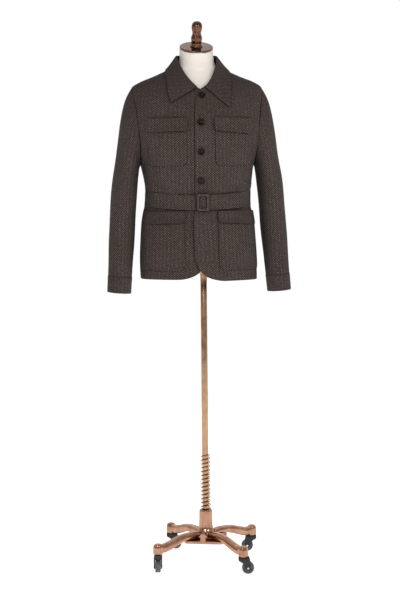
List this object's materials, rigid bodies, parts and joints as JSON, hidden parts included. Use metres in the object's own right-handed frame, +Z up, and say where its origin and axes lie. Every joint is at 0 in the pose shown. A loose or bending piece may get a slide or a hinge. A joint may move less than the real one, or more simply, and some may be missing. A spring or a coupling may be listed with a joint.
{
  "type": "jacket on dress form stand",
  "caption": "Belted wool jacket with a pointed collar, flapped patch pockets and a buttoned front, worn by a limbless dress form on a bronze-coloured caster stand.",
  "frame": {"origin": "on the floor, under the middle of the jacket; the pole's axis is 17 mm to its +X side", "axes": "+Z up, parallel to the pole; the jacket's front faces -Y, so the wearer's left is +X"},
  "size_m": [0.6092, 0.3716, 1.7938],
  "materials": {
    "wool": "dark brown wool with a fine pale speckle, matt",
    "button": "near black horn-look, semi-gloss",
    "form_cover": "cream stretch jersey over a padded form",
    "bronze": "bronze-coloured metallic finish, satin",
    "caster_black": "black moulded plastic"
  },
  "bodies": {
    "base": {"hub": "bronze", "base_plate": "bronze", "spring": "bronze", "pedal_bracket": "bronze", "leg_1": "bronze", "leg_2": "bronze", "leg_3": "bronze", "leg_4": "bronze"},
    "mast": {"torso_form": "form_cover", "neck_plate": "bronze", "finial": "bronze", "pole": "bronze", "pole_collar": "bronze", "back_left": "wool", "back_right": "wool", "front_left": "wool", "front_right": "wool", "sleeve_left": "wool", "sleeve_right": "wool", "cuff_left": "wool", "cuff_right": "wool", "collar": "wool", "chest_pocket_left": "wool", "chest_pocket_right": "wool", "chest_flap_left": "wool", "chest_flap_right": "wool", "lower_pocket_left": "wool", "lower_pocket_right": "wool", "lower_flap_left": "wool", "lower_flap_right": "wool", "belt": "wool", "belt_end": "wool", "buckle": "wool", "button_1": "button", "button_2": "button", "button_3": "button", "button_4": "button"},
    "caster_1": {"fork_1": "caster_black"},
    "caster_2": {"fork_2": "caster_black"},
    "caster_3": {"fork_3": "caster_black"},
    "caster_4": {"fork_4": "caster_black"},
    "roller_1": {"wheel_1": "caster_black"},
    "roller_2": {"wheel_2": "caster_black"},
    "roller_3": {"wheel_3": "caster_black"},
    "roller_4": {"wheel_4": "caster_black"},
    "pedal_arm": {"pedal": "bronze"}
  },
  "joints": [
    {"name": "mast_slide", "type": "slide", "parent": "base", "child": "mast", "axis": [0, 0, 1], "range_m": [-0.06, 0.03]},
    {"name": "swivel_1", "type": "hinge", "parent": "base", "child": "caster_1", "pos_m": [0.18669, 0.10427, 0.0552], "axis": [0, 0, 1], "continuous": true},
    {"name": "roll_1", "type": "hinge", "parent": "caster_1", "child": "roller_1", "pos_m": [0.17127, 0.10581, 0.0197], "axis": [-0.0993, -0.9951, 0], "continuous": true},
    {"name": "swivel_2", "type": "hinge", "parent": "base", "child": "caster_2", "pos_m": [-0.08707, 0.16949, 0.0552], "axis": [0, 0, 1], "continuous": true},
    {"name": "roll_2", "type": "hinge", "parent": "caster_2", "child": "roller_2", "pos_m": [-0.07165, 0.16795, 0.0197], "axis": [0.0993, 0.9951, 0], "continuous": true},
    {"name": "swivel_3", "type": "hinge", "parent": "base", "child": "caster_3", "pos_m": [-0.15229, -0.10427, 0.0552], "axis": [0, 0, 1], "continuous": true},
    {"name": "roll_3", "type": "hinge", "parent": "caster_3", "child": "roller_3", "pos_m": [-0.15383, -0.1197, 0.0197], "axis": [0.9951, -0.0993, 0], "continuous": true},
    {"name": "swivel_4", "type": "hinge", "parent": "base", "child": "caster_4", "pos_m": [0.12147, -0.16949, 0.0552], "axis": [0, 0, 1], "continuous": true},
    {"name": "roll_4", "type": "hinge", "parent": "caster_4", "child": "roller_4", "pos_m": [0.1369, -0.17103, 0.0197], "axis": [0.0993, 0.9951, 0], "continuous": true},
    {"name": "pedal_hinge", "type": "hinge", "parent": "base", "child": "pedal_arm", "pos_m": [0.007, -0.0428, 0.0945], "axis": [0.9728, -0.2317, 0], "range_deg": [0, 10], "stiffness_Nm_per_rad": 0.6, "springref_deg": -5.73}
  ]
}
